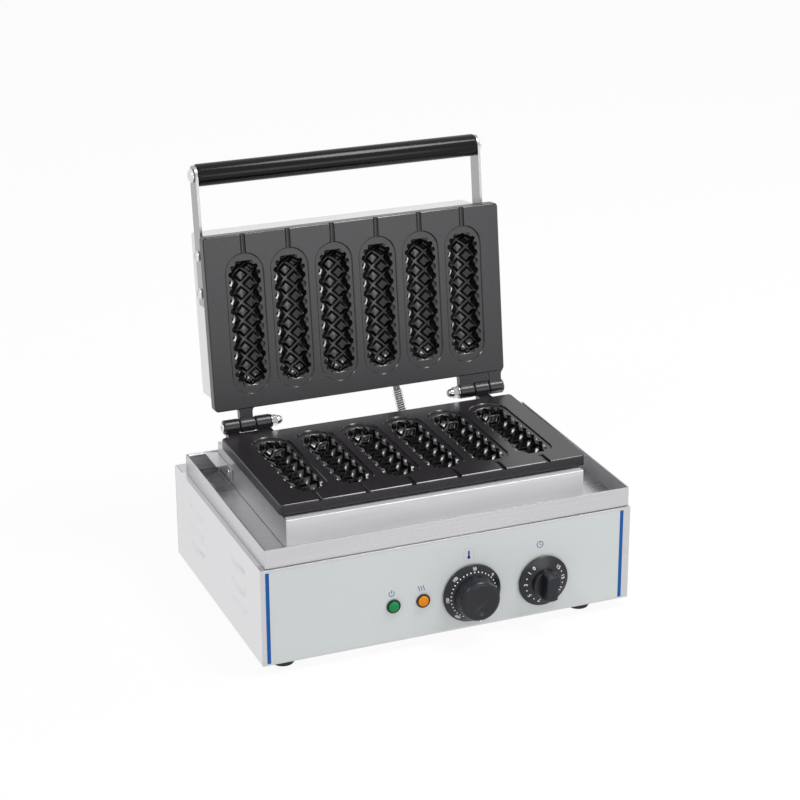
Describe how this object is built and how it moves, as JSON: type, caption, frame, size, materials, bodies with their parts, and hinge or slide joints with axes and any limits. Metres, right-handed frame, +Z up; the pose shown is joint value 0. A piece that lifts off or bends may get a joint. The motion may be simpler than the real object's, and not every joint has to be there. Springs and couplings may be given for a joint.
{
  "type": "waffle iron",
  "caption": "Countertop electric iron for corn dog waffles: steel housing with dials and drip tray, hinged cast mould plates, and a sheet lid with a bar handle, shown open.",
  "frame": {"origin": "centre of the whole object's footprint box, on the surface that the feet stand on, with the lid open as at rest", "axes": "+Z up, -Y towards the user (the side with the dials), +X to the user's right"},
  "size_m": [0.37, 0.3424, 0.4],
  "materials": {
    "sheet_steel": "brushed stainless sheet",
    "lid_steel": "brushed stainless sheet",
    "front_overlay": "satin printed overlay on steel",
    "cast_nonstick": "cast, with a satin non-stick coat",
    "bright_steel": "polished fasteners and wire",
    "knob_plastic": "satin moulded plastic",
    "grip_plastic": "gloss bakelite",
    "foot_rubber": "matt rubber",
    "lens_green": "clear tinted plastic",
    "lens_amber": "clear tinted plastic",
    "heater_steel": "heat-darkened steel",
    "heater_board": "mineral insulation board",
    "terminal_white": "moulded insulation",
    "cable_grey": "smooth silicone jacket"
  },
  "bodies": {
    "base": {"front_panel": "front_overlay", "left_side_panel": "sheet_steel", "right_side_panel": "sheet_steel", "rear_panel": "sheet_steel", "bottom_plate": "sheet_steel", "foot_front_left": "foot_rubber", "foot_front_right": "foot_rubber", "foot_rear_left": "foot_rubber", "foot_rear_right": "foot_rubber", "drip_tray": "sheet_steel", "pedestal_front": "sheet_steel", "pedestal_left": "sheet_steel", "pedestal_rear": "sheet_steel", "pedestal_right": "sheet_steel", "rear_bracket_left": "sheet_steel", "rear_bracket_right": "sheet_steel", "bracket_screw_left": "bright_steel", "bracket_screw_right": "bright_steel", "lower_plate": "cast_nonstick", "hinge_pin_left": "bright_steel", "hinge_pin_right": "bright_steel", "dome_nut_left": "bright_steel", "dome_nut_right": "bright_steel", "lower_heating_element": "heater_steel", "lower_clamp_plate": "heater_steel", "lower_insulation_board": "heater_board", "thermostat_body": "terminal_white", "thermostat_bulb": "bright_steel", "timer_body": "terminal_white", "green_lamp_holder": "knob_plastic", "green_lamp_lens": "lens_green", "amber_lamp_holder": "knob_plastic", "amber_lamp_lens": "lens_amber", "terminal_block": "terminal_white", "cable_gland": "knob_plastic", "conduit_spring": "bright_steel", "conduit_ferrule": "bright_steel", "lid_cable_left": "cable_grey", "lid_cable_right": "cable_grey"},
    "lid": {"upper_plate": "cast_nonstick", "lid_shell": "lid_steel", "handle_arm_left": "bright_steel", "handle_arm_right": "bright_steel", "handle_grip": "grip_plastic", "handle_bolt_left": "bright_steel", "handle_bolt_right": "bright_steel", "arm_screw_left_front": "bright_steel", "arm_screw_left_rear": "bright_steel", "arm_screw_right_front": "bright_steel", "arm_screw_right_rear": "bright_steel", "upper_heating_element": "heater_steel", "upper_clamp_plate": "heater_steel", "upper_insulation_board": "heater_board", "lid_grommet": "foot_rubber"},
    "thermostat_knob": {"thermostat_knob": "knob_plastic", "thermostat_shaft": "bright_steel"},
    "timer_knob": {"timer_knob": "knob_plastic", "timer_shaft": "bright_steel"}
  },
  "joints": [
    {"name": "lid_hinge", "type": "hinge", "parent": "base", "child": "lid", "pos_m": [0, 0.0834, 0.15125], "axis": [1, 0, 0], "range_deg": [0, 97.3], "deforming": ["conduit_spring", "lid_cable_left", "lid_cable_right"]},
    {"name": "thermostat_dial", "type": "hinge", "parent": "base", "child": "thermostat_knob", "pos_m": [0.0206, -0.1439, 0.0462], "axis": [0, 1, 0], "range_deg": [0, 288]},
    {"name": "timer_dial", "type": "hinge", "parent": "base", "child": "timer_knob", "pos_m": [0.094, -0.1439, 0.0452], "axis": [0, 1, 0], "range_deg": [0, 278]}
  ]
}
